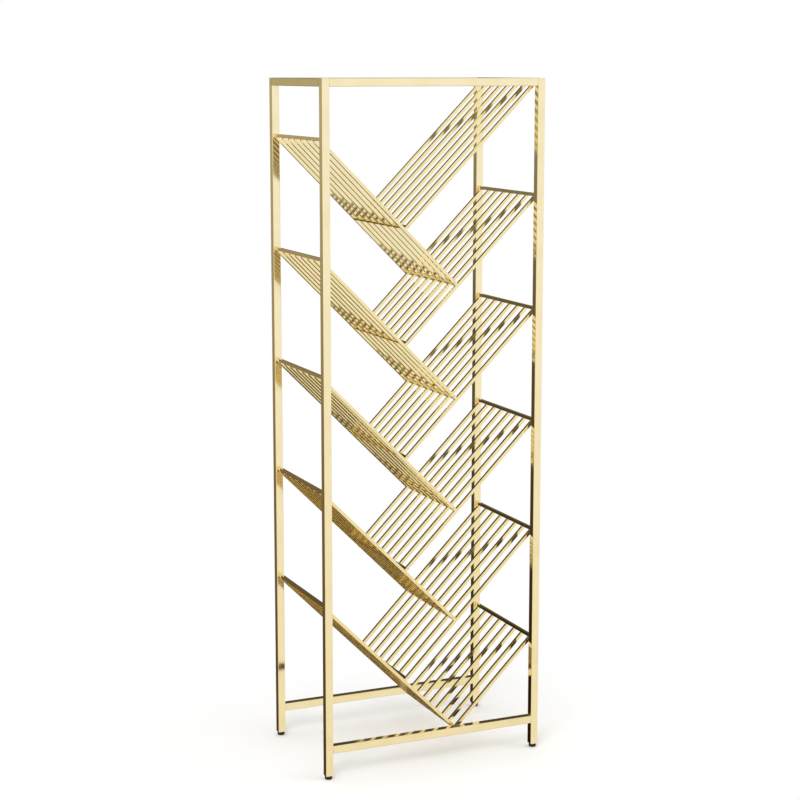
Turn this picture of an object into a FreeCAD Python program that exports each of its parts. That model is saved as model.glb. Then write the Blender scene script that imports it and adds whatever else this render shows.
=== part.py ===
import FreeCAD, Part
import os
import re

import Sketcher

# Free-standing bookshelf of square tube and square bar, in millimetres.
# The origin is on the floor under the middle of the frame: +X to the right, +Y to the back, +Z up.
# Slatted shelves slope down from both side frames and interlock at right angles in a herringbone.

# Sizes that a designer sets
DRIVING_SIZES = {
    # Frame of square tube
    "overall_width": 600,
    "overall_depth": 370,
    "overall_height": 1750,
    "tube_size": 20,
    "tube_wall": 1.5,
    "tube_corner_radius": 1.5,
    "bottom_rail_underside": 68,
    "cap_thickness": 2,
    "shelf_tiers": 5,
    # Slatted shelves of square bar
    "bar_size": 8,
    "slat_count": 8,
    "slat_row_inset": 9,
    "left_slope": 45,
    "left_shelf_drop": 150,
    "top_shelf_drop": 7,
    "tip_sink": 6,
    # Levelling feet
    "pad_height": 10,
    "pad_radius": 9.5,
    "pad_bottom_bevel": 2.5,
    "pad_top_bevel": 1,
    "pad_floor_thickness": 3,
    "screw_head_radius": 6,
    "screw_head_height": 2.5,
    "screw_radius": 4,
    "screw_length": 30,
    "screw_tip_chamfer": 1,
    "insert_height": 25,
    "running_clearance": 0.05,
}

# Sizes and places that follow from them
DERIVED_SIZES = {
    # Faces of the frame: the posts' centres and inner faces, and the clear height between pads and top
    "post_height": "=overall_height - pad_height",
    "post_centre_x": "=(overall_width - tube_size) / 2",
    "post_centre_y": "=(overall_depth - tube_size) / 2",
    "inner_half_width": "=overall_width / 2 - tube_size",
    "inner_half_depth": "=overall_depth / 2 - tube_size",
    "tube_bore": "=tube_size - 2 * tube_wall",
    # Crossbars sit on the posts' centre lines, so their inner faces are this far from the middle
    "crossbar_inner": "=post_centre_x - bar_size / 2",
    # The rows of slats stop short of the posts' inner faces, front and rear
    "row_half_depth": "=inner_half_depth - slat_row_inset",
    "slat_pitch": "=(2 * row_half_depth - bar_size) / (slat_count - 1)",
    # Left shelves run along (cos, -sin) and right shelves, square to them, along (-sin, -cos)
    "run_x": "=cos(left_slope)",
    "run_z": "=sin(left_slope)",
    # The lowest tip sits just below the bottom rails' tops, and equal tiers fill the height above it
    "lowest_tip": "=bottom_rail_underside + tube_size - tip_sink",
    "tip_height_in_tiers": "=shelf_tiers - 1 + run_z * run_z",
    "top_tier_fall": "=run_z * (2 * crossbar_inner * run_x - (left_shelf_drop - top_shelf_drop) * run_z)",
    "tier_pitch": "=(overall_height - left_shelf_drop - top_tier_fall - lowest_tip) / tip_height_in_tiers",
    "left_shelf_top": "=overall_height - left_shelf_drop",
    "right_shelf_top": "=overall_height - top_shelf_drop - tier_pitch",
    "side_step": "=left_shelf_top - right_shelf_top",
    # From its upper end, a left shelf's top runs this far to the top of the right shelf that it stands on
    "left_run": "=2 * crossbar_inner * run_x + side_step * run_z",
    # A right shelf's top reaches that tip first, and lands on the next left shelf further down
    "right_run_to_tip": "=2 * crossbar_inner * run_z - side_step * run_x",
    "right_run": "=right_run_to_tip + tier_pitch * run_x",
    # Slats stop at the bar that closes their lower end
    "left_slat": "=left_run - bar_size",
    "right_slat": "=right_run - bar_size",
    # The top right shelf starts at the top rail's inner face, which lies inside the crossbars' faces
    "rail_inset": "=crossbar_inner - inner_half_width",
    "top_slat": "=right_slat - rail_inset / run_z",
    "top_slat_start": "=right_shelf_top + tier_pitch - rail_inset * run_x / run_z",
    # Levelling feet
    "screw_hole": "=screw_radius + running_clearance",
    "screw_pocket": "=screw_head_radius + running_clearance",
    "screw_pocket_top": "=pad_floor_thickness + screw_head_height + 2 * running_clearance",
    "screw_head_bottom": "=pad_floor_thickness + running_clearance",
    "screw_head_top": "=screw_head_bottom + screw_head_height",
    "screw_top": "=pad_height + screw_length",
}

TIERS = DRIVING_SIZES["shelf_tiers"]

CORNERS = {
    "front_left": (-1, -1),
    "front_right": (1, -1),
    "rear_left": (-1, 1),
    "rear_right": (1, 1),
}

doc = FreeCAD.newDocument("bookshelf")


# Document helpers

def write_sheet(sizes):
    sheet = doc.addObject("Spreadsheet::Sheet", "sizes")
    for row, (alias, value) in enumerate(sizes.items(), start=1):
        cell = f"B{row}"
        sheet.set(f"A{row}", alias)
        sheet.set(cell, str(value))
        sheet.setAlias(cell, alias)
    doc.recompute()
    return sheet


def bound(formula):
    """Points every alias in a formula at the sheet."""
    return re.sub(r"[a-z_]+", lambda word: f"sizes.{word[0]}" if word[0] in ALIASES else word[0], formula)


def value_of(holder, formula):
    return float(holder.evalExpression(bound(formula)))


def new_body(label, x="0", y="0", z="0"):
    body = doc.addObject("PartDesign::Body", label)
    body.Label = label
    for axis, formula in (("x", x), ("y", y), ("z", z)):
        body.setExpression(f"Placement.Base.{axis}", bound(formula))
    return body


def origin_feature(body, role):
    for feature in body.Origin.OriginFeatures:
        if feature.Role == role:
            return feature
    raise ValueError(role)


def new_sketch(body, plane):
    sketch = body.newObject("Sketcher::SketchObject", body.Label + "_sketch")
    sketch.AttachmentSupport = (origin_feature(body, plane), [""])
    sketch.MapMode = "FlatFace"
    return sketch


def hold(sketch, kind, formula, *where):
    """Adds a distance or radius that follows a formula."""
    index = sketch.addConstraint(Sketcher.Constraint(kind, *where, value_of(sketch, formula)))
    sketch.renameConstraint(index, f"{kind.lower()}_{index}")
    sketch.setExpression(f"Constraints.{kind.lower()}_{index}", bound(formula))


def draw_outline(sketch, corners):
    """Closed outline of straight lines, with each corner held at its own pair of formulas."""
    points = [FreeCAD.Vector(*(value_of(sketch, formula) for formula in corner), 0) for corner in corners]
    lines = [
        sketch.addGeometry(Part.LineSegment(start, end), False)
        for start, end in zip(points, points[1:] + points[:1])
    ]
    for line, following in zip(lines, lines[1:] + lines[:1]):
        sketch.addConstraint(Sketcher.Constraint("Coincident", line, 2, following, 1))
    for line, (across, up) in zip(lines, corners):
        for kind, formula, axis in (("DistanceX", across, -2), ("DistanceY", up, -1)):
            if formula == "0":
                sketch.addConstraint(Sketcher.Constraint("PointOnObject", line, 1, axis))
            else:
                hold(sketch, kind, formula, -1, 1, line, 1)


def draw_square(sketch, size):
    half = f"{size} / 2"
    draw_outline(sketch, [(f"-{half}", f"-{half}"), (half, f"-{half}"), (half, half), (f"-{half}", half)])


def draw_circle(sketch, radius):
    outline = Part.Circle(FreeCAD.Vector(), FreeCAD.Vector(0, 0, 1), value_of(sketch, radius))
    circle = sketch.addGeometry(outline, False)
    sketch.addConstraint(Sketcher.Constraint("Coincident", circle, 3, -1, 1))
    hold(sketch, "Radius", radius, circle)


def pad(body, sketch, length, both_ways=False):
    feature = body.newObject("PartDesign::Pad", body.Label + "_pad")
    feature.Profile = sketch
    if both_ways:
        feature.SideType = "Symmetric"
    feature.setExpression("Length", bound(length))
    doc.recompute()
    return feature


def round_edges(body, feature, radius, chosen):
    """Rounds the edges of a feature that the test chooses."""
    names = [f"Edge{number}" for number, edge in enumerate(feature.Shape.Edges, start=1) if chosen(edge)]
    fillet = body.newObject("PartDesign::Fillet", body.Label + "_rounding")
    fillet.Base = (feature, names)
    fillet.setExpression("Radius", bound(radius))


# Frame of square tube

def square_tube(label, plane, length, both_ways, x="0", y="0", z="0"):
    body = new_body(label, x, y, z)
    sketch = new_sketch(body, plane)
    draw_square(sketch, "tube_size")
    draw_square(sketch, "tube_bore")
    tube = pad(body, sketch, length, both_ways)
    along = {"XY_Plane": "z", "YZ_Plane": "x", "XZ_Plane": "y"}[plane]
    outer = value_of(sketch, "tube_size / 2")
    across = [axis for axis in "xyz" if axis != along]

    def is_outer_corner(edge):
        middle = edge.CenterOfMass
        return all(abs(abs(getattr(middle, axis)) - outer) < TOLERANCE for axis in across)

    round_edges(body, tube, "tube_corner_radius", is_outer_corner)
    return body


def make_posts():
    for corner, (side, depth) in CORNERS.items():
        place = (f"{side} * post_centre_x", f"{depth} * post_centre_y", "pad_height")
        square_tube(f"post_{corner}", "XY_Plane", "post_height", False, *place)


def make_post_top_caps():
    """Plates welded inside the posts' top ends and ground flush."""
    body = new_body("post_top_caps", "-post_centre_x", "-post_centre_y", "overall_height - cap_thickness")
    sketch = new_sketch(body, "XY_Plane")
    draw_square(sketch, "tube_bore")
    plate = pad(body, sketch, "cap_thickness")
    four = body.newObject("PartDesign::LinearPattern", "post_top_caps_pattern")
    four.Originals = [plate]
    four.Direction = (origin_feature(body, "X_Axis"), [""])
    four.Direction2 = (origin_feature(body, "Y_Axis"), [""])
    four.Occurrences = 2
    four.Occurrences2 = 2
    four.setExpression("Length", bound("2 * post_centre_x"))
    four.setExpression("Length2", bound("2 * post_centre_y"))
    body.Tip = four


def make_rails():
    top = "overall_height - tube_size / 2"
    bottom = "bottom_rail_underside + tube_size / 2"
    for end, depth in (("front", -1), ("rear", 1)):
        for level, height in (("top", top), ("bottom", bottom)):
            place = ("0", f"{depth} * post_centre_y", height)
            square_tube(f"{level}_{end}_rail", "YZ_Plane", "2 * inner_half_width", True, *place)
    for hand, side in (("left", -1), ("right", 1)):
        place = (f"{side} * post_centre_x", "0", top)
        square_tube(f"top_{hand}_rail", "XZ_Plane", "2 * inner_half_depth", True, *place)


# Slatted shelves

def cross_bar(label, corners, x, z, half_length):
    """Square bar that lies from front to back."""
    body = new_body(label, x, "0", z)
    sketch = new_sketch(body, "XZ_Plane")
    draw_outline(sketch, corners)
    pad(body, sketch, f"2 * {half_length}", True)


def slats(label, corners, x, z):
    """Row of equal slats: the first one's side outline, repeated from front to back."""
    body = new_body(label, x, "bar_size / 2 - row_half_depth", z)
    sketch = new_sketch(body, "XZ_Plane")
    draw_outline(sketch, corners)
    first = pad(body, sketch, "bar_size", True)
    row = body.newObject("PartDesign::LinearPattern", label + "_pattern")
    row.Originals = [first]
    row.Direction = (origin_feature(body, "Y_Axis"), [""])
    row.Mode = "Spacing"
    row.setExpression("Offset", bound("slat_pitch"))
    row.setExpression("Occurrences", bound("slat_count"))
    body.Tip = row


def left_slat_outline():
    """Cut level under its crossbar and flush with its outer face at the upper end, square at the lower end."""
    return [
        ("0", "0"),
        ("left_slat * run_x", "-left_slat * run_z"),
        ("left_slat * run_x - bar_size * run_z", "-left_slat * run_z - bar_size * run_x"),
        ("-bar_size", "-bar_size * (1 - run_z) / run_x"),
        ("-bar_size", "0"),
    ]


def right_slat_outline(length, under_crossbar):
    """Cut like a left slat, or upright against the top rail where no crossbar lies above it."""
    upper_end = [("bar_size", "-bar_size * (1 - run_x) / run_z"), ("bar_size", "0")]
    return [
        ("0", "0"),
        (f"-{length} * run_z", f"-{length} * run_x"),
        (f"bar_size * run_x - {length} * run_z", f"-{length} * run_x - bar_size * run_z"),
        *(upper_end if under_crossbar else [("0", "-bar_size / run_z")]),
    ]


def sloping_bar_outline():
    """Square turned to the shelves' slope, hanging from its top corner on a left shelf's top plane."""
    return [
        ("0", "0"),
        ("bar_size * run_x", "-bar_size * run_z"),
        ("bar_size * run_x - bar_size * run_z", "-bar_size * run_z - bar_size * run_x"),
        ("-bar_size * run_z", "-bar_size * run_x"),
    ]


def make_side_crossbars(tier):
    """Bars between the posts, on each side, that lie on the slats' upper ends."""
    square = [("0", "0"), ("bar_size", "0"), ("bar_size", "bar_size"), ("0", "bar_size")]
    drop = f"{tier - 1} * tier_pitch"
    left = ("-crossbar_inner - bar_size", f"left_shelf_top - {drop}", "inner_half_depth")
    right = ("crossbar_inner", f"right_shelf_top - {drop}", "inner_half_depth")
    cross_bar(f"left_crossbar_{tier}", square, *left)
    cross_bar(f"right_crossbar_{tier}", square, *right)


def end_bar_reach(tier):
    """The lowest shelves' end bars reach the bottom rails, the others only their outer slats' faces."""
    return "inner_half_depth" if tier == TIERS else "row_half_depth"


def make_left_shelf(tier):
    start = f"left_shelf_top - {tier - 1} * tier_pitch"
    slats(f"left_shelf_{tier}_slats", left_slat_outline(), "-crossbar_inner", start)
    end_x = "left_slat * run_x - crossbar_inner"
    end_z = f"{start} - left_slat * run_z"
    cross_bar(f"left_shelf_{tier}_end_bar", sloping_bar_outline(), end_x, end_z, end_bar_reach(tier))


def make_right_shelf(name, start_x, start_z, length, end_reach, under_crossbar=True):
    """Slats that come down to the left, and the bar that closes their lower end."""
    slats(f"{name}_slats", right_slat_outline(length, under_crossbar), start_x, start_z)
    end_x = f"{start_x} - {length} * run_z"
    end_z = f"{start_z} - {length} * run_x"
    cross_bar(f"{name}_end_bar", sloping_bar_outline(), end_x, end_z, end_reach)


def make_shelves():
    make_right_shelf("top_shelf", "inner_half_width", "top_slat_start", "top_slat", "row_half_depth", False)
    for tier in range(1, TIERS + 1):
        make_side_crossbars(tier)
        make_left_shelf(tier)
        length = "right_slat" if tier < TIERS else "right_run_to_tip"
        start = f"right_shelf_top - {tier - 1} * tier_pitch"
        make_right_shelf(f"right_shelf_{tier}", "crossbar_inner", start, length, end_bar_reach(tier))


# Levelling feet

def revolved(label, x, y, corners):
    body = new_body(label, x, y)
    sketch = new_sketch(body, "XZ_Plane")
    draw_outline(sketch, corners)
    turned = body.newObject("PartDesign::Revolution", label + "_revolution")
    turned.Profile = sketch
    turned.ReferenceAxis = (sketch, ["V_Axis"])


def make_insert(corner, x, y):
    """Steel block inside the post's lower end, bored for the screw."""
    body = new_body(f"foot_insert_{corner}", x, y, "pad_height")
    sketch = new_sketch(body, "XY_Plane")
    draw_square(sketch, "tube_bore")
    draw_circle(sketch, "screw_hole")
    pad(body, sketch, "insert_height")


def make_screw(corner, x, y):
    """Levelling screw with a flat round head, which turns inside the pad."""
    shank_end = "screw_top - screw_tip_chamfer"
    revolved(f"foot_screw_{corner}", x, y, [
        ("0", "screw_head_bottom"),
        ("screw_head_radius", "screw_head_bottom"),
        ("screw_head_radius", "screw_head_top"),
        ("screw_radius", "screw_head_top"),
        ("screw_radius", shank_end),
        ("screw_radius - screw_tip_chamfer", "screw_top"),
        ("0", "screw_top"),
    ])


def make_pad(corner, x, y):
    """Round pad moulded about the screw's head."""
    revolved(f"foot_pad_{corner}", x, y, [
        ("0", "0"),
        ("pad_radius - pad_bottom_bevel", "0"),
        ("pad_radius", "pad_bottom_bevel"),
        ("pad_radius", "pad_height - pad_top_bevel"),
        ("pad_radius - pad_top_bevel", "pad_height"),
        ("screw_hole", "pad_height"),
        ("screw_hole", "screw_pocket_top"),
        ("screw_pocket", "screw_pocket_top"),
        ("screw_pocket", "pad_floor_thickness"),
        ("0", "pad_floor_thickness"),
    ])


def make_feet():
    for corner, (side, depth) in CORNERS.items():
        x = f"{side} * post_centre_x"
        y = f"{depth} * post_centre_y"
        make_insert(corner, x, y)
        make_screw(corner, x, y)
        make_pad(corner, x, y)


# Checks and files

def check_document():
    for item in doc.Objects:
        if {"Invalid", "Error"} & set(item.State):
            raise RuntimeError(f"{item.Label}: {item.State}")


def write_parts():
    os.makedirs("parts", exist_ok=True)
    whole = FreeCAD.BoundBox()
    for body in doc.findObjects("PartDesign::Body"):
        shape = body.Shape
        if shape.isNull() or not shape.isValid() or not shape.Solids:
            raise RuntimeError(f"{body.Label} has no valid solid")
        whole.add(shape.BoundBox)
        shape.exportStep(f"parts/{body.Label}.step")
    print(len(doc.findObjects("PartDesign::Body")), "nodes,", whole)


TOLERANCE = 1e-6
ALIASES = {*DRIVING_SIZES, *DERIVED_SIZES}
sizes = write_sheet({**DRIVING_SIZES, **DERIVED_SIZES})
make_posts()
make_post_top_caps()
make_rails()
make_shelves()
make_feet()
doc.recompute()
check_document()
write_parts()
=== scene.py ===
import math

import bmesh
import bpy
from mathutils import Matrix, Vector


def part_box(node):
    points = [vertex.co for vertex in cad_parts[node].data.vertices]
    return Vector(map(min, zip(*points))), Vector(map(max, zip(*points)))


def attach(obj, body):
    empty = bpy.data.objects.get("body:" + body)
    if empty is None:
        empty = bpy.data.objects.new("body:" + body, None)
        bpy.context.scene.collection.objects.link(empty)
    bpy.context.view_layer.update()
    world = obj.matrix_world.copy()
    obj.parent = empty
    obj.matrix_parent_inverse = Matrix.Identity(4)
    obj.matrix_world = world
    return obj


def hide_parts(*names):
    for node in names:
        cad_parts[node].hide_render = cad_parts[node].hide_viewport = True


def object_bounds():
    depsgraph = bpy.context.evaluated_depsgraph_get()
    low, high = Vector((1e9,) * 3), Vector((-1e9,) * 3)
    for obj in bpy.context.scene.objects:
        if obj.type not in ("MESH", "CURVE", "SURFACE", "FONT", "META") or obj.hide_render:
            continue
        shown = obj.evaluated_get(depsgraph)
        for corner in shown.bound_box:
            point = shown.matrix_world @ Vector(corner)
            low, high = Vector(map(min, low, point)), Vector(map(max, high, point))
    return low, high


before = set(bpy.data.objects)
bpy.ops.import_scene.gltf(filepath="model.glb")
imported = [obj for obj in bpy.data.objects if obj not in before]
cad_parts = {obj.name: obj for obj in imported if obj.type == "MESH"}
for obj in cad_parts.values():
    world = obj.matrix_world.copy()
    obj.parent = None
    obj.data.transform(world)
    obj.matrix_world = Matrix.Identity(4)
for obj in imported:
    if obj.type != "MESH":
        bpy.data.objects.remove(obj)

# Free-standing bookshelf of gold-plated square tube and bar, in metres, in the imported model's frame:
# the origin is on the floor under the middle, +X to the right, +Y to the back and +Z up.

CAD_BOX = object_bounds()

GOLD_SLOT = "gold_plated_steel"
ZINC_SLOT = "zinc_plated_steel"
PLASTIC_SLOT = "black_plastic"

CORNERS = ("front_left", "front_right", "rear_left", "rear_right")
HALF_WIDTH, HALF_DEPTH, _ = CAD_BOX[1]
SLATS = 8
SLOPE = math.radians(45)

# Square tube and bar, with the radii of their rounded edges and weld beads
TUBE = 0.020
TUBE_ROUNDING = 0.0015
TUBE_WELD_RADIUS = 0.0011
BAR = 0.008
BAR_ROUNDING = 0.0003
BAR_WELD_RADIUS = 0.0008

# How far a crossbar's face stands proud of the slats' ends, so that the two don't coincide
CORNER_COVER = 0.0003

# Levelling feet. Heights are from the floor up.
PAD_HEIGHT = 0.010
PAD_RADIUS = 0.0095
PAD_LOWER_ROUNDING = 0.0034
PAD_UPPER_ROUNDING = 0.0011
MOULD_LINE = 0.006
MOULD_LINE_DEPTH = 0.00015
MOULD_LINE_REACH = 0.0002
SCREW_CLEARANCE = 0.00005
HEAD_BOTTOM = 0.00305
HEAD_TOP = 0.00555
HEAD_RADIUS = 0.006
SCREW_TOP = 0.040
SCREW_RADIUS = 0.004
ROOT_RADIUS = 0.0034
THREAD_PITCH = 0.00125


# Node helpers

def new_tree(name, kind, inputs, outputs):
    """Node group with named sockets, given as (name, type, default) rows."""
    tree = bpy.data.node_groups.new(name, kind)
    for direction, rows in (("INPUT", inputs), ("OUTPUT", outputs)):
        for label, socket_type, *default in rows:
            full_type = "NodeSocket" + socket_type
            socket = tree.interface.new_socket(name=label, in_out=direction, socket_type=full_type)
            if default:
                socket.default_value = default[0]
    given = tree.nodes.new("NodeGroupInput").outputs
    result = tree.nodes.new("NodeGroupOutput").inputs
    return tree, given, result


def connect(tree, node, inputs):
    """Links each input that is given a socket, and sets the others."""
    for key, value in inputs.items():
        if isinstance(value, bpy.types.NodeSocket):
            tree.links.new(value, node.inputs[key])
        else:
            node.inputs[key].default_value = value


def add(tree, kind, inputs=None, **settings):
    node = tree.nodes.new(kind)
    for name, value in settings.items():
        setattr(node, name, value)
    connect(tree, node, inputs or {})
    return node


def maths(tree, operation, *values):
    return add(tree, "ShaderNodeMath", dict(enumerate(values)), operation=operation).outputs[0]


def vector_maths(tree, operation, *values):
    return add(tree, "ShaderNodeVectorMath", dict(enumerate(values)), operation=operation).outputs["Vector"]


def split(tree, vector):
    return add(tree, "ShaderNodeSeparateXYZ", {0: vector}).outputs


def combine(tree, x, y, z):
    return add(tree, "ShaderNodeCombineXYZ", {0: x, 1: y, 2: z}).outputs[0]


def ease(tree, value, low, high, to_low=0.0, to_high=1.0):
    """Smooth step from to_low to to_high, as the value goes from low to high."""
    inputs = {0: value, 1: low, 2: high, 3: to_low, 4: to_high}
    return add(tree, "ShaderNodeMapRange", inputs, interpolation_type="SMOOTHSTEP").outputs[0]


def mix_colours(tree, factor, first, second):
    return add(tree, "ShaderNodeMix", {0: factor, 6: first, 7: second}, data_type="RGBA").outputs[2]


# Shader groups that several finishes share

def make_buffing_group():
    """What a buffing wheel leaves along X: faint lines and patches of haze, over the skin's orange peel."""
    tree, given, result = new_tree("Buffing", "ShaderNodeTree", [
        ("Vector", "Vector"),
        ("Line width", "Float", 0.0009),
        ("Haze size", "Float", 0.07),
    ], [("Lines", "Float"), ("Haze", "Float"), ("Peel", "Float")])
    across = maths(tree, "DIVIDE", 1.0, given["Line width"])
    patches = maths(tree, "DIVIDE", 1.0, given["Haze size"])
    stretched = vector_maths(tree, "MULTIPLY", given["Vector"], combine(tree, 9.0, across, across))
    lines = add(tree, "ShaderNodeTexNoise", {"Vector": stretched, "Scale": 1.0, "Detail": 3.0})
    haze = add(tree, "ShaderNodeTexNoise", {"Vector": given["Vector"], "Scale": patches, "Detail": 4.0})
    peel = add(tree, "ShaderNodeTexNoise", {"Vector": given["Vector"], "Scale": 420.0, "Detail": 1.0})
    tree.links.new(ease(tree, lines.outputs[0], 0.42, 0.72), result["Lines"])
    tree.links.new(ease(tree, haze.outputs[0], 0.35, 0.75), result["Haze"])
    tree.links.new(peel.outputs[0], result["Peel"])
    return tree


def make_edge_group():
    """Mask of a square bar's long edges, from a point's place in the bar's section."""
    tree, given, result = new_tree("Bar edges", "ShaderNodeTree", [
        ("Across", "Float"),
        ("Up", "Float"),
        ("Half size", "Float", 0.004),
        ("Width", "Float", 0.0006),
    ], [("Mask", "Float")])
    sideways = maths(tree, "ABSOLUTE", given["Across"])
    upwards = maths(tree, "ABSOLUTE", given["Up"])
    nearest = maths(tree, "MINIMUM", sideways, upwards)
    start = maths(tree, "SUBTRACT", given["Half size"], given["Width"])
    tree.links.new(ease(tree, nearest, start, given["Half size"]), result["Mask"])
    return tree


def make_grain_group():
    """Fine grain and broader blotches, for moulded and zinc-plated skins."""
    tree, given, result = new_tree("Grain", "ShaderNodeTree", [
        ("Vector", "Vector"),
        ("Grain size", "Float", 0.0004),
        ("Blotch size", "Float", 0.006),
    ], [("Grain", "Float"), ("Blotches", "Float")])
    fine = maths(tree, "DIVIDE", 1.0, given["Grain size"])
    broad = maths(tree, "DIVIDE", 1.0, given["Blotch size"])
    grain = add(tree, "ShaderNodeTexNoise", {"Vector": given["Vector"], "Scale": fine, "Detail": 2.0})
    blotches = add(tree, "ShaderNodeTexVoronoi", {"Vector": given["Vector"], "Scale": broad})
    tree.links.new(grain.outputs[0], result["Grain"])
    tree.links.new(split(tree, blotches.outputs["Color"])[0], result["Blotches"])
    return tree


BUFFING = make_buffing_group()
BAR_EDGES = make_edge_group()
GRAIN = make_grain_group()


def use_group(tree, group, **inputs):
    node = add(tree, "ShaderNodeGroup", node_tree=group)
    connect(tree, node, {key.replace("_", " "): value for key, value in inputs.items()})
    return node.outputs


# Finishes

def new_finish(name):
    finish = bpy.data.materials.new(name)
    finish.use_nodes = True
    tree = finish.node_tree
    tree.nodes.clear()
    surface = add(tree, "ShaderNodeBsdfPrincipled")
    output = add(tree, "ShaderNodeOutputMaterial")
    tree.links.new(surface.outputs[0], output.inputs["Surface"])
    return finish, tree, surface


def raise_surface(tree, surface, height, distance, strength=1.0):
    bump = add(tree, "ShaderNodeBump", {"Height": height, "Distance": distance, "Strength": strength})
    tree.links.new(bump.outputs[0], surface.inputs["Normal"])


# Clear and hazy plating, a little deeper on the thin bars than on the tubes
TUBE_GOLD = ((0.94, 0.83, 0.545, 1), (0.90, 0.775, 0.48, 1))
BAR_GOLD = ((0.92, 0.785, 0.44, 1), (0.87, 0.725, 0.375, 1))
LINE_GOLD = (0.82, 0.68, 0.385, 1)
# Edge colour: worn plating and a painted highlight together
WORN_AND_SHEEN_GOLD = (0.97, 0.88, 0.63, 1)
WELD_GOLD = (0.80, 0.64, 0.34, 1)

# How much of a bar's half width its paler edge takes: worn plating, with a painted highlight along the edge
EDGE_WEAR_AND_SHEEN_SHARE = 0.16


def plate_gold(tree, surface, golds, along, across, up, half_size, weld):
    """Polished gold plating on a square bar, from a point's place along and across the bar."""
    place = combine(tree, along, across, up)
    marks = use_group(tree, BUFFING, Vector=place, Line_width=0.0009, Haze_size=0.07)
    width = half_size * EDGE_WEAR_AND_SHEEN_SHARE
    edge = use_group(tree, BAR_EDGES, Across=across, Up=up, Half_size=half_size, Width=width)["Mask"]
    base = mix_colours(tree, marks["Haze"], *golds)
    lined = mix_colours(tree, maths(tree, "MULTIPLY", marks["Lines"], 0.3), base, LINE_GOLD)
    # Paler, brighter gold along the long edges: partly worn plating, partly a painted highlight
    worn_and_sheen = mix_colours(tree, maths(tree, "MULTIPLY", edge, 0.3), lined, WORN_AND_SHEEN_GOLD)
    colour = mix_colours(tree, maths(tree, "MULTIPLY", weld, 0.7), worn_and_sheen, WELD_GOLD)
    haze = maths(tree, "MULTIPLY_ADD", marks["Haze"], 0.045, 0.05)
    lines = maths(tree, "MULTIPLY_ADD", marks["Lines"], 0.03, haze)
    roughness = maths(tree, "MULTIPLY_ADD", weld, 0.18, lines)
    peel = maths(tree, "MULTIPLY_ADD", marks["Lines"], 0.15, marks["Peel"])
    connect(tree, surface, {"Base Color": colour, "Metallic": 1.0, "Roughness": roughness})
    raise_surface(tree, surface, peel, distance=0.000008, strength=0.6)


def make_gold_bar_finish(name, golds, half_size):
    """For made bars, which carry their own lengthwise coordinates."""
    finish, tree, surface = new_finish(name)
    bar = split(tree, add(tree, "ShaderNodeAttribute", attribute_name="bar").outputs["Vector"])
    number = add(tree, "ShaderNodeAttribute", attribute_name="number").outputs["Fac"]
    weld = add(tree, "ShaderNodeAttribute", attribute_name="weld").outputs["Fac"]
    along = maths(tree, "MULTIPLY_ADD", number, 1.37, bar[0])
    plate_gold(tree, surface, golds, along, bar[1], bar[2], half_size, weld)
    return finish


def make_gold_post_finish():
    """For the upright tubes, whose centre lines stand at four mirrored places."""
    finish, tree, surface = new_finish("gold_plated_posts")
    x, y, z = split(tree, add(tree, "ShaderNodeTexCoord").outputs["Object"])
    across = maths(tree, "SUBTRACT", maths(tree, "ABSOLUTE", x), HALF_WIDTH - TUBE / 2)
    up = maths(tree, "SUBTRACT", maths(tree, "ABSOLUTE", y), HALF_DEPTH - TUBE / 2)
    side = maths(tree, "MULTIPLY_ADD", maths(tree, "SIGN", y), 3.1, maths(tree, "SIGN", x))
    along = maths(tree, "MULTIPLY_ADD", side, 2.3, z)
    plate_gold(tree, surface, TUBE_GOLD, along, across, up, TUBE / 2, 0.0)
    return finish


def make_zinc_finish():
    finish, tree, surface = new_finish("zinc_plated_screws")
    place = add(tree, "ShaderNodeTexCoord").outputs["Object"]
    skin = use_group(tree, GRAIN, Vector=place, Grain_size=0.0003, Blotch_size=0.0025)
    colour = mix_colours(tree, skin["Blotches"], (0.50, 0.50, 0.47, 1), (0.62, 0.62, 0.60, 1))
    roughness = maths(tree, "MULTIPLY_ADD", skin["Grain"], 0.16, 0.22)
    connect(tree, surface, {"Base Color": colour, "Metallic": 1.0, "Roughness": roughness})
    raise_surface(tree, surface, skin["Grain"], distance=0.00002)
    return finish


def make_plastic_finish():
    """Black moulded plastic with scuffs at the floor."""
    finish, tree, surface = new_finish("black_moulded_plastic")
    place = add(tree, "ShaderNodeTexCoord").outputs["Object"]
    skin = use_group(tree, GRAIN, Vector=place, Grain_size=0.00035, Blotch_size=0.004)
    low = ease(tree, split(tree, place)[2], 0.0004, 0.0035, 1.0, 0.0)
    scuffs = maths(tree, "MULTIPLY", low, ease(tree, skin["Grain"], 0.45, 0.7))
    black = mix_colours(tree, skin["Blotches"], (0.006, 0.006, 0.007, 1), (0.011, 0.010, 0.010, 1))
    colour = mix_colours(tree, maths(tree, "MULTIPLY", scuffs, 0.5), black, (0.060, 0.058, 0.055, 1))
    grained = maths(tree, "MULTIPLY_ADD", skin["Grain"], 0.15, 0.44)
    roughness = maths(tree, "MULTIPLY_ADD", scuffs, 0.25, grained)
    connect(tree, surface, {"Base Color": colour, "Roughness": roughness, "Specular IOR Level": 0.35})
    raise_surface(tree, surface, skin["Grain"], distance=0.00004)
    return finish


GOLD_BARS = make_gold_bar_finish("gold_plated_bars", BAR_GOLD, BAR / 2)
GOLD_RAILS = make_gold_bar_finish("gold_plated_rails", TUBE_GOLD, TUBE / 2)
GOLD_POSTS = make_gold_post_finish()
ZINC = make_zinc_finish()
PLASTIC = make_plastic_finish()


# Geometry trees

def join(tree, *pieces):
    joined = add(tree, "GeometryNodeJoinGeometry")
    for piece in pieces:
        tree.links.new(piece.outputs[0], joined.inputs[0])
    return joined


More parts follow.
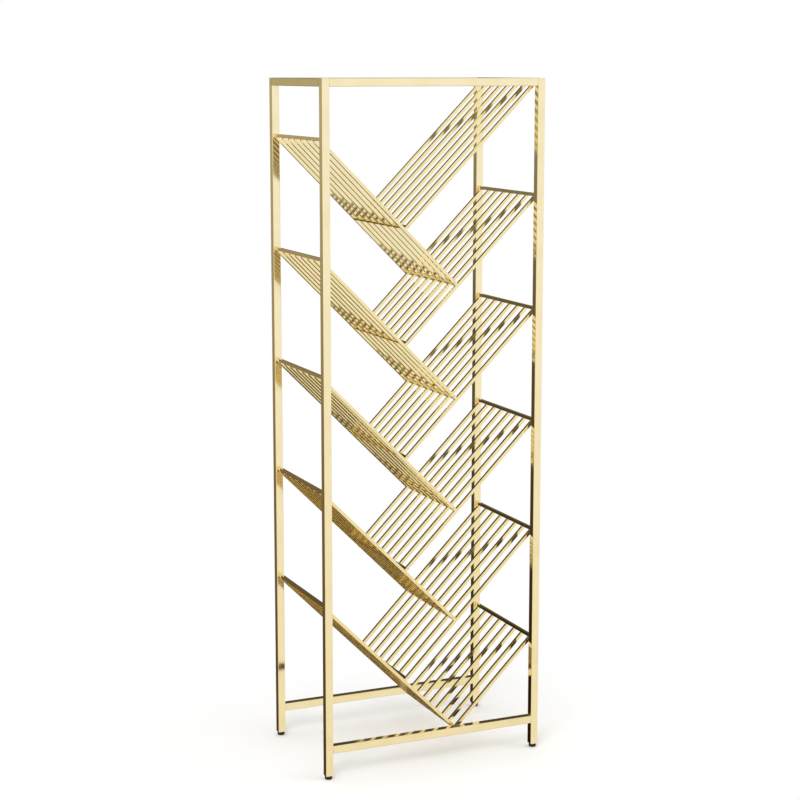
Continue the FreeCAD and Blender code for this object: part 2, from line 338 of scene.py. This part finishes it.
def end_tree(tree, given, result, pieces):
    """Makes instances real and gives them their finish."""
    whole = add(tree, "GeometryNodeRealizeInstances", {"Geometry": pieces.outputs[0]})
    inputs = {"Geometry": whole.outputs[0], "Material": given["Finish"]}
    finished = add(tree, "GeometryNodeSetMaterial", inputs)
    tree.links.new(finished.outputs[0], result["Geometry"])


def make_bar_tree():
    """Row of equal square bars, each made along X before it is rolled, sloped and turned to its heading."""
    tree, given, result = new_tree("Square bars", "GeometryNodeTree", [
        ("Place", "Vector"),
        ("Roll", "Float"),
        ("Slope", "Float"),
        ("Heading", "Float"),
        ("Length", "Float", 0.3),
        ("Size", "Float", BAR),
        ("Weld reach", "Float", BAR / 2),
        ("Weld radius", "Float", BAR_WELD_RADIUS),
        ("Weld at start", "Bool"),
        ("Weld at end", "Bool"),
        ("Weld under crossbar", "Bool"),
        ("Crossbar patch", "Vector"),
        ("Count", "Int", 1),
        ("Spacing", "Float", 0.0434),
        ("Seed", "Float"),
        ("Finish", "Material"),
    ], [("Geometry", "Geometry")])
    half = maths(tree, "DIVIDE", given["Size"], 2.0)

    # The bar, with edges marked for rounding
    size = combine(tree, given["Length"], given["Size"], given["Size"])
    cube = add(tree, "GeometryNodeMeshCube", {"Size": size})
    centre = combine(tree, maths(tree, "DIVIDE", given["Length"], 2.0), 0.0, 0.0)
    bar = add(tree, "GeometryNodeTransform", {"Geometry": cube.outputs["Mesh"], "Translation": centre})
    marked = add(tree, "GeometryNodeStoreNamedAttribute", {
        "Geometry": bar.outputs[0], "Name": "bevel_weight_edge", "Value": 1.0,
    }, data_type="FLOAT", domain="EDGE")

    # A bead of weld round each joined end, or level round the patch where a crossbar lies on the bar
    across = maths(tree, "MULTIPLY", given["Weld reach"], 2.0)
    square = add(tree, "GeometryNodeCurvePrimitiveQuadrilateral", {"Width": across, "Height": across})
    corner = maths(tree, "MULTIPLY", given["Weld reach"], 0.25)
    loop = add(tree, "GeometryNodeFilletCurve", {
        "Curve": square.outputs[0], "Count": 1, "Radius": corner, "Limit Radius": True,
    }, mode="POLY")
    thread = add(tree, "GeometryNodeCurvePrimitiveCircle", {"Resolution": 6, "Radius": given["Weld radius"]})
    bead = add(tree, "GeometryNodeCurveToMesh", {
        "Curve": loop.outputs[0], "Profile Curve": thread.outputs[0],
    })
    bead = add(tree, "GeometryNodeStoreNamedAttribute", {
        "Geometry": bead.outputs[0], "Name": "weld", "Value": 1.0,
    }, data_type="FLOAT", domain="POINT")
    upright = (0.0, math.pi / 2, 0.0)
    at_start = add(tree, "GeometryNodeTransform", {"Geometry": bead.outputs[0], "Rotation": upright})
    far = combine(tree, given["Length"], 0.0, 0.0)
    at_end = add(tree, "GeometryNodeTransform", {
        "Geometry": bead.outputs[0], "Rotation": upright, "Translation": far,
    })
    back_to_level = combine(tree, 0.0, maths(tree, "MULTIPLY", given["Slope"], -1.0), 0.0)
    level = add(tree, "FunctionNodeEulerToRotation", {0: back_to_level})
    under_crossbar = add(tree, "GeometryNodeTransform", {
        "Geometry": bead.outputs[0], "Rotation": level.outputs[0], "Translation": given["Crossbar patch"],
    })

    def wanted(choice, ring):
        inputs = {"Switch": given[choice], "True": ring.outputs[0]}
        return add(tree, "GeometryNodeSwitch", inputs, input_type="GEOMETRY")

    # A sloping bar's upper end is cut upright, from its top edge
    square_ended = join(tree, marked, wanted("Weld at start", at_start), wanted("Weld at end", at_end))
    local = add(tree, "GeometryNodeInputPosition").outputs[0]
    x, _, z = split(tree, local)
    lean = maths(tree, "TANGENT", given["Slope"])
    cut = maths(tree, "MULTIPLY", maths(tree, "SUBTRACT", half, z), lean)
    near_start = maths(tree, "LESS_THAN", x, given["Size"])
    scribed = add(tree, "GeometryNodeSetPosition", {
        "Geometry": square_ended.outputs[0], "Selection": near_start, "Offset": combine(tree, cut, 0.0, 0.0),
    })

    # Its own coordinates, kept for the finish
    whole_bar = join(tree, scribed, wanted("Weld under crossbar", under_crossbar))
    kept = add(tree, "GeometryNodeStoreNamedAttribute", {
        "Geometry": whole_bar.outputs[0], "Name": "bar", "Value": local,
    }, data_type="FLOAT_VECTOR", domain="POINT")

    # The row, from front to back
    angles = combine(tree, given["Roll"], given["Slope"], given["Heading"])
    turn = add(tree, "FunctionNodeEulerToRotation", {0: angles})
    gaps = maths(tree, "SUBTRACT", given["Count"], 1.0)
    first = maths(tree, "MULTIPLY", gaps, maths(tree, "DIVIDE", given["Spacing"], -2.0))
    line = add(tree, "GeometryNodeMeshLine", {
        "Count": given["Count"],
        "Start Location": vector_maths(tree, "ADD", given["Place"], combine(tree, 0.0, first, 0.0)),
        "Offset": combine(tree, 0.0, given["Spacing"], 0.0),
    }, mode="OFFSET")
    row = add(tree, "GeometryNodeInstanceOnPoints", {
        "Points": line.outputs[0], "Instance": kept.outputs[0], "Rotation": turn.outputs[0],
    })
    number = maths(tree, "ADD", add(tree, "GeometryNodeInputIndex").outputs[0], given["Seed"])
    numbered = add(tree, "GeometryNodeStoreNamedAttribute", {
        "Geometry": row.outputs[0], "Name": "number", "Value": number,
    }, data_type="FLOAT", domain="INSTANCE")
    end_tree(tree, given, result, numbered)
    return tree


def make_thread_tree():
    """Right-hand screw thread about Z. Each row of points follows the helix at a crest, a flank or a root."""
    tree, given, result = new_tree("Screw thread", "GeometryNodeTree", [
        ("Place", "Vector"),
        ("Bottom", "Float", HEAD_TOP),
        ("Top", "Float", SCREW_TOP),
        ("Crest radius", "Float", SCREW_RADIUS),
        ("Root radius", "Float", ROOT_RADIUS),
        ("Pitch", "Float", THREAD_PITCH),
        ("Head radius", "Float", HEAD_RADIUS),
        ("Head height", "Float", HEAD_TOP - HEAD_BOTTOM),
        ("Steps round", "Int", 32),
        ("Rows a turn", "Int", 6),
        ("Finish", "Material"),
    ], [("Geometry", "Geometry")])
    length = maths(tree, "SUBTRACT", given["Top"], given["Bottom"])
    turns = maths(tree, "CEIL", maths(tree, "ADD", maths(tree, "DIVIDE", length, given["Pitch"]), 2.0))
    rows = maths(tree, "ADD", maths(tree, "MULTIPLY", turns, given["Rows a turn"]), 1.0)
    columns = maths(tree, "ADD", given["Steps round"], 1.0)
    grid = add(tree, "GeometryNodeMeshGrid", {
        "Size X": 1.0, "Size Y": 1.0, "Vertices X": columns, "Vertices Y": rows,
    })
    x, y, _ = split(tree, add(tree, "GeometryNodeInputPosition").outputs[0])
    round_share = maths(tree, "ADD", x, 0.5)
    row_turn = maths(tree, "MULTIPLY", maths(tree, "ADD", y, 0.5), turns)
    phase = maths(tree, "FRACT", maths(tree, "ADD", row_turn, 0.001))
    slope = maths(tree, "ABSOLUTE", maths(tree, "MULTIPLY_ADD", phase, 2.0, -1.0))
    crest = maths(tree, "SUBTRACT", given["Crest radius"], given["Root radius"])
    radius = maths(tree, "MULTIPLY_ADD", ease(tree, slope, 0.15, 0.85), crest, given["Root radius"])
    turns_up = maths(tree, "ADD", maths(tree, "SUBTRACT", row_turn, 1.0), round_share)
    climb = maths(tree, "MULTIPLY_ADD", turns_up, given["Pitch"], given["Bottom"])
    height = maths(tree, "MINIMUM", maths(tree, "MAXIMUM", climb, given["Bottom"]), given["Top"])
    blunt = maths(tree, "MULTIPLY", given["Root radius"], 0.85)
    tip = maths(tree, "ADD", maths(tree, "SUBTRACT", given["Top"], climb), blunt)
    above_bottom = maths(tree, "GREATER_THAN", climb, given["Bottom"])
    start = maths(tree, "MULTIPLY", above_bottom, given["Crest radius"])
    closed = maths(tree, "MINIMUM", maths(tree, "MAXIMUM", tip, 0.0), maths(tree, "MINIMUM", radius, start))
    before_tip = maths(tree, "MULTIPLY", maths(tree, "LESS_THAN", climb, given["Top"]), closed)
    angle = maths(tree, "MULTIPLY", round_share, 2 * math.pi)
    point = combine(
        tree,
        maths(tree, "MULTIPLY", before_tip, maths(tree, "COSINE", angle)),
        maths(tree, "MULTIPLY", before_tip, maths(tree, "SINE", angle)),
        height,
    )
    wound = add(tree, "GeometryNodeSetPosition", {"Geometry": grid.outputs[0], "Position": point})
    shut = add(tree, "GeometryNodeMergeByDistance", {"Geometry": wound.outputs[0], "Distance": 0.00001})
    head = add(tree, "GeometryNodeMeshCylinder", {
        "Vertices": 48, "Radius": given["Head radius"], "Depth": given["Head height"],
    })
    drop = maths(tree, "SUBTRACT", given["Bottom"], maths(tree, "DIVIDE", given["Head height"], 2.0))
    head = add(tree, "GeometryNodeTransform", {
        "Geometry": head.outputs[0], "Translation": combine(tree, 0.0, 0.0, drop),
    })
    both = join(tree, shut, head)
    placed = add(tree, "GeometryNodeTransform", {"Geometry": both.outputs[0], "Translation": given["Place"]})
    end_tree(tree, given, result, placed)
    return tree


SQUARE_BARS = make_bar_tree()
SCREW_THREAD = make_thread_tree()


def grow(name, tree, rounding=0.0, **values):
    """Runs a geometry tree with the values given, and returns its result as a plain mesh object."""
    carrier = bpy.data.objects.new(name + "_carrier", bpy.data.meshes.new(name + "_carrier"))
    bpy.context.scene.collection.objects.link(carrier)
    nodes = carrier.modifiers.new("Grow", "NODES")
    nodes.node_group = tree
    for item in tree.interface.items_tree:
        key = item.name.replace(" ", "_").lower()
        if item.in_out == "INPUT" and key in values:
            nodes[item.identifier] = values[key]
    if rounding:
        bevel = carrier.modifiers.new("Rounding", "BEVEL")
        bevel.limit_method = "WEIGHT"
        bevel.width = rounding
        bevel.segments = 2 if rounding < TUBE_ROUNDING else 4
        bevel.harden_normals = True
    evaluated = carrier.evaluated_get(bpy.context.evaluated_depsgraph_get())
    mesh = bpy.data.meshes.new_from_object(evaluated)
    mesh.name = name
    old = carrier.data
    bpy.data.objects.remove(carrier)
    bpy.data.meshes.remove(old)
    piece = bpy.data.objects.new(name, mesh)
    bpy.context.scene.collection.objects.link(piece)
    return piece


def settle(piece, body, slot, *nodes):
    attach(piece, body)
    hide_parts(*nodes)


# Frame

def make_rail(node, along_y):
    low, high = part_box(node)
    middle = (low + high) / 2
    start = Vector((middle.x, low.y, middle.z)) if along_y else Vector((low.x, middle.y, middle.z))
    rail = grow(
        node + "_tube", SQUARE_BARS, rounding=TUBE_ROUNDING,
        place=start, heading=math.pi / 2 if along_y else 0.0,
        length=high.y - low.y if along_y else high.x - low.x,
        size=TUBE, weld_reach=TUBE / 2 - TUBE_WELD_RADIUS, weld_radius=TUBE_WELD_RADIUS,
        weld_at_start=True, weld_at_end=True, count=1, seed=start.x * 3 + start.z * 7, finish=GOLD_RAILS,
    )
    settle(rail, "frame", GOLD_SLOT, node)


def make_frame():
    for node in ("top_front_rail", "top_rear_rail", "bottom_front_rail", "bottom_rear_rail"):
        make_rail(node, along_y=False)
    for node in ("top_left_rail", "top_right_rail"):
        make_rail(node, along_y=True)


# Shelves

def make_slats(node, heading, under_crossbar):
    """Slats run down from their upper end. A crossbar lies on that end and takes in its top corner."""
    low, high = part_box(node)
    side = 1 if heading == 0 else -1
    start_x = low.x if heading == 0 else high.x
    start_z = high.z
    run = high.x - low.x
    if under_crossbar:
        start_x += side * CORNER_COVER
        start_z += (BAR - CORNER_COVER) * math.tan(SLOPE)
        run -= CORNER_COVER
    inset = BAR / 2 * math.sin(SLOPE)
    patch_along = BAR * (math.cos(SLOPE) / 2 + math.sin(SLOPE) * math.tan(SLOPE))
    slats = grow(
        node.replace("_slats", "_slat_row"), SQUARE_BARS, rounding=BAR_ROUNDING,
        place=Vector((start_x - side * inset, 0, start_z - inset)), slope=SLOPE, heading=heading,
        length=run / math.cos(SLOPE), size=BAR,
        weld_at_start=not under_crossbar, weld_at_end=True, weld_under_crossbar=under_crossbar,
        crossbar_patch=Vector((patch_along, 0, BAR / 2 - inset)),
        count=SLATS, spacing=(high.y - low.y - BAR) / (SLATS - 1), seed=high.z * 11 + side, finish=GOLD_BARS,
    )
    settle(slats, "frame", GOLD_SLOT, node)


def make_cross_bar(node, roll, welded):
    low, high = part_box(node)
    middle = (low + high) / 2
    bar = grow(
        node + "_made", SQUARE_BARS, rounding=BAR_ROUNDING,
        place=Vector((middle.x, low.y, middle.z)), roll=roll, heading=math.pi / 2,
        length=high.y - low.y, size=BAR, weld_at_start=welded, weld_at_end=welded,
        count=1, seed=middle.z * 5 + middle.x, finish=GOLD_BARS,
    )
    settle(bar, "frame", GOLD_SLOT, node)


def make_shelves():
    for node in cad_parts:
        if node.endswith("_slats"):
            make_slats(node, 0.0 if node.startswith("left") else math.pi, not node.startswith("top"))
        elif node.endswith("_end_bar"):
            make_cross_bar(node, SLOPE, welded=False)
        elif "_crossbar_" in node:
            make_cross_bar(node, 0.0, welded=True)


# Levelling feet

def arc(centre_r, centre_z, radius, start, end, steps):
    """Points of an arc in the section, from one angle to another in degrees."""
    angles = [math.radians(start + (end - start) * step / steps) for step in range(steps + 1)]
    return [(centre_r + radius * math.cos(angle), centre_z + radius * math.sin(angle)) for angle in angles]


def turned(name, section, x, y, finish, around=72):
    """Closed shape turned from a section of (radius, height) points about an upright axis."""
    shape = bmesh.new()
    rings = []
    for radius, height in section:
        angles = [2 * math.pi * step / around for step in range(around if radius > 0 else 1)]
        places = [(x + radius * math.cos(angle), y + radius * math.sin(angle), height) for angle in angles]
        rings.append([shape.verts.new(place) for place in places])
    for ring, following in zip(rings, rings[1:]):
        for step in range(around):
            corners = []
            for source, offset in ((ring, 0), (ring, 1), (following, 1), (following, 0)):
                corner = source[(step + offset) % len(source)]
                if corner not in corners:
                    corners.append(corner)
            shape.faces.new(corners)
    bmesh.ops.recalc_face_normals(shape, faces=shape.faces)
    mesh = bpy.data.meshes.new(name)
    shape.to_mesh(mesh)
    shape.free()
    mesh.shade_smooth()
    mesh.materials.append(finish)
    piece = bpy.data.objects.new(name, mesh)
    bpy.context.scene.collection.objects.link(piece)
    return piece


def pad_section():
    """Sole with two grip rings, a rolled lower edge, a mould line, and the pocket for the screw's head."""
    hollow = [(0, 0.0005), (0.0022, 0.0005), (0.0026, 0)]
    groove = [(0.0040, 0), (0.0043, 0.0004), (0.0049, 0.0004), (0.0052, 0)]
    rolled = PAD_LOWER_ROUNDING
    lower = arc(PAD_RADIUS - rolled, rolled, rolled, -90, -3, 12)
    line = [
        (PAD_RADIUS, MOULD_LINE - MOULD_LINE_REACH),
        (PAD_RADIUS - MOULD_LINE_DEPTH, MOULD_LINE),
        (PAD_RADIUS, MOULD_LINE + MOULD_LINE_REACH),
    ]
    eased = PAD_UPPER_ROUNDING
    upper = arc(PAD_RADIUS - eased, PAD_HEIGHT - eased, eased, 0, 90, 6)
    neck = SCREW_RADIUS + SCREW_CLEARANCE
    wide = HEAD_RADIUS + SCREW_CLEARANCE
    ceiling = HEAD_TOP + SCREW_CLEARANCE
    bed = HEAD_BOTTOM - SCREW_CLEARANCE
    pocket = [(neck, PAD_HEIGHT), (neck, ceiling), (wide, ceiling), (wide, bed), (0, bed)]
    return hollow + groove + lower + line + upper + pocket


def make_feet():
    for corner in CORNERS:
        low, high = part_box(f"foot_pad_{corner}")
        x, y = (low.x + high.x) / 2, (low.y + high.y) / 2
        pad = turned(f"foot_pad_{corner}_moulding", pad_section(), x, y, PLASTIC)
        settle(pad, f"pad_{corner}", PLASTIC_SLOT, f"foot_pad_{corner}")
        screw = grow(f"foot_screw_{corner}_threaded", SCREW_THREAD, place=Vector((x, y, 0)), finish=ZINC)
        screw.data.shade_smooth()
        settle(screw, f"screw_{corner}", ZINC_SLOT, f"foot_screw_{corner}")


def finish_cad_nodes():
    """The nodes whose shape stays get the same finishes as the rest."""
    for name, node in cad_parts.items():
        finish = ZINC if name.startswith("foot_insert") else GOLD_POSTS
        for held in node.material_slots:
            held.material = finish


# Studio

WHITE = (1, 1, 1, 1)
FLOOR_COLOUR = (0.985, 0.985, 0.98, 1)
FLOOR_SIZE = 3.0

# How far outside the posts the floor starts to fade, and where it is gone
FADE_START = 0.04
FADE_END = 0.50

# Light that the surround gives to everything that isn't a mirror
SOFT_LIGHT = (0.88, 0.88, 0.88, 1)

# Lamps as (name, place, size, power) rows, both aimed near the middle of the shelf
LAMP_TARGET = Vector((0, 0, 0.8))
LAMPS = (
    ("key_lamp", Vector((-2.6, -3.2, 3.4)), 2.2, 70),
    ("fill_lamp", Vector((3.4, -2.2, 2.6)), 2.6, 30),
)


def make_floor():
    """Pale floor that fades into the white surround outside the object's shadow. The metal sees past it."""
    bpy.ops.mesh.primitive_grid_add(x_subdivisions=2, y_subdivisions=2, size=FLOOR_SIZE)
    floor = bpy.context.object
    floor.name = "studio_floor"
    finish = bpy.data.materials.new("studio_floor")
    finish.use_nodes = True
    tree = finish.node_tree
    tree.nodes.clear()
    x, y, _ = split(tree, add(tree, "ShaderNodeTexCoord").outputs["Object"])
    beside = maths(tree, "MAXIMUM", maths(tree, "SUBTRACT", maths(tree, "ABSOLUTE", x), HALF_WIDTH), 0.0)
    behind = maths(tree, "MAXIMUM", maths(tree, "SUBTRACT", maths(tree, "ABSOLUTE", y), HALF_DEPTH), 0.0)
    outside = combine(tree, beside, behind, 0.0)
    away = add(tree, "ShaderNodeVectorMath", {0: outside}, operation="LENGTH").outputs["Value"]
    pale = add(tree, "ShaderNodeBsdfDiffuse", {"Color": FLOOR_COLOUR})
    clear = add(tree, "ShaderNodeBsdfTransparent")
    mirrored = add(tree, "ShaderNodeLightPath").outputs["Is Glossy Ray"]
    cleared = maths(tree, "MAXIMUM", ease(tree, away, FADE_START, FADE_END), mirrored)
    fade = add(tree, "ShaderNodeMixShader", {0: cleared, 1: pale.outputs[0], 2: clear.outputs[0]})
    output = add(tree, "ShaderNodeOutputMaterial")
    tree.links.new(fade.outputs[0], output.inputs["Surface"])
    floor.data.materials.append(finish)


# Tones that the metal mirrors, as (height, colour) rows. A height is the upward part of a direction, -1 to 1.
# A cloth hangs beside the shelf on the left and behind it, down to a hem with paler tones under it.
# Behind the shelf it is dark above, which is what the tops of bars mirror.
HEM = -0.38
UNDER_HEM = ((-0.60, (0.66, 0.62, 0.52)), (-0.47, (0.40, 0.36, 0.27)))
ABOVE = ((0.33, (0.070, 0.060, 0.030)), (0.48, (0.060, 0.052, 0.026)), (0.85, (0.50, 0.49, 0.45)))
BESIDE_TONES = (
    (-0.36, (0.13, 0.095, 0.050)),
    (-0.10, (0.36, 0.32, 0.215)),
    (0.15, (0.46, 0.43, 0.32)),
    (0.60, (0.62, 0.60, 0.52)),
)
FAR_LEFT_TONES = (
    (-0.31, (0.020, 0.010, 0.003)),
    (-0.14, (0.10, 0.078, 0.040)),
    (-0.03, (0.28, 0.25, 0.17)),
    (0.06, (0.20, 0.18, 0.115)),
    *ABOVE,
)
LEFT_TONES = (
    (-0.33, (0.085, 0.050, 0.016)),
    (-0.22, (0.19, 0.135, 0.060)),
    (-0.13, (0.34, 0.28, 0.165)),
    (-0.02, (0.48, 0.42, 0.27)),
    (0.08, (0.36, 0.32, 0.20)),
    *ABOVE,
)
MIDDLE_TONES = (
    (-0.34, (0.070, 0.042, 0.012)),
    (-0.20, (0.42, 0.36, 0.23)),
    (0.18, (0.80, 0.76, 0.64)),
    *ABOVE,
)
RIGHT_TONES = (
    (-0.29, (0.060, 0.042, 0.020)),
    (-0.20, (0.13, 0.10, 0.055)),
    (-0.10, (0.20, 0.17, 0.11)),
    (-0.02, (0.27, 0.24, 0.16)),
    (0.06, (0.24, 0.21, 0.145)),
    *ABOVE,
)
CLOTH_PANELS = (BESIDE_TONES, FAR_LEFT_TONES, LEFT_TONES, MIDDLE_TONES, RIGHT_TONES)

# Where one panel of the cloth passes into the next, from left to right
CLOTH_SEAMS = ((-0.72, -0.52), (-0.43, -0.39), (-0.32, -0.18), (0.20, 0.26))

# Its outer edge, by a direction's backward part plus this share of its leftward part
LEFTWARD_SHARE = 0.9
CLOTH_EDGE = (0.62, 0.84)

# Away from the cloth it is white at middle heights, and darker low and high
ROUND_TONES = (
    (-0.90, (0.52, 0.47, 0.36)),
    (-0.36, (0.94, 0.89, 0.77)),
    (-0.12, (1.0, 1.0, 1.0)),
    (0.30, (1.0, 1.0, 1.0)),
    (0.75, (0.72, 0.70, 0.64)),
)


def tones_by_height(tree, height, tones):
    ramp = add(tree, "ShaderNodeValToRGB", {0: maths(tree, "MULTIPLY_ADD", height, 0.5, 0.5)})
    stops = ramp.color_ramp.elements
    for index, (level, colour) in enumerate(tones):
        stop = stops[index] if index < 2 else stops.new(1.0)
        stop.position = level * 0.5 + 0.5
        stop.color = (*colour, 1)
    return ramp.outputs["Color"]


def make_surround():
    """White to the camera. The metal sees a cloth beside and behind the shelf, which gives it depth."""
    world = bpy.data.worlds.new("studio")
    bpy.context.scene.world = world
    world.use_nodes = True
    tree = world.node_tree
    tree.nodes.clear()
    side, depth, height = split(tree, add(tree, "ShaderNodeTexCoord").outputs["Generated"])
    panels = []
    for tones in CLOTH_PANELS:
        hem_tone = (HEM, tones[0][1])
        panels.append(tones_by_height(tree, height, (*UNDER_HEM, hem_tone, *tones)))
    cloth = panels[0]
    for panel, (low, high) in zip(panels[1:], CLOTH_SEAMS):
        cloth = mix_colours(tree, ease(tree, side, low, high), cloth, panel)
    all_round = tones_by_height(tree, height, ROUND_TONES)
    to_left = maths(tree, "MAXIMUM", maths(tree, "MULTIPLY", side, -1.0), 0.0)
    behind_or_left = maths(tree, "MULTIPLY_ADD", to_left, LEFTWARD_SHARE, depth)
    hung = mix_colours(tree, ease(tree, behind_or_left, *CLOTH_EDGE), all_round, cloth)
    rays = add(tree, "ShaderNodeLightPath").outputs
    seen = mix_colours(tree, rays["Is Camera Ray"], hung, WHITE)
    mirrored = maths(tree, "MAXIMUM", rays["Is Glossy Ray"], rays["Is Transmission Ray"])
    shown = maths(tree, "MAXIMUM", rays["Is Camera Ray"], mirrored)
    colour = mix_colours(tree, shown, SOFT_LIGHT, seen)
    background = add(tree, "ShaderNodeBackground", {"Color": colour, "Strength": 1.0})
    output = add(tree, "ShaderNodeOutputWorld")
    tree.links.new(background.outputs[0], output.inputs["Surface"])


def make_lamp(name, place, size, power):
    """Soft lamp for the floor and the plastic. The metal doesn't mirror it, so it has no burnt-out spots."""
    lamp = bpy.data.lights.new(name, "AREA")
    lamp.shape = "DISK"
    lamp.size = size
    lamp.energy = power
    held = bpy.data.objects.new(name, lamp)
    held.location = place
    held.rotation_euler = (LAMP_TARGET - place).to_track_quat("-Z", "Y").to_euler()
    held.visible_glossy = False
    bpy.context.scene.collection.objects.link(held)


def make_camera():
    """At the photograph's viewing angle."""
    view = bpy.data.cameras.new("camera")
    view.sensor_fit = "HORIZONTAL"
    view.sensor_width = 36
    view.lens = 83.86
    view.shift_y = -0.03
    view.clip_end = 50
    camera = bpy.data.objects.new("camera", view)
    camera.location = (-1.923, -4.358, 1.766)
    camera.rotation_euler = (math.radians(90 - 9.287), 0, math.radians(-23.63))
    bpy.context.scene.collection.objects.link(camera)
    bpy.context.scene.camera = camera


make_frame()
make_shelves()
make_feet()
finish_cad_nodes()
make_floor()
make_surround()
for lamp_row in LAMPS:
    make_lamp(*lamp_row)
make_camera()
bpy.context.scene.view_settings.view_transform = "Standard"
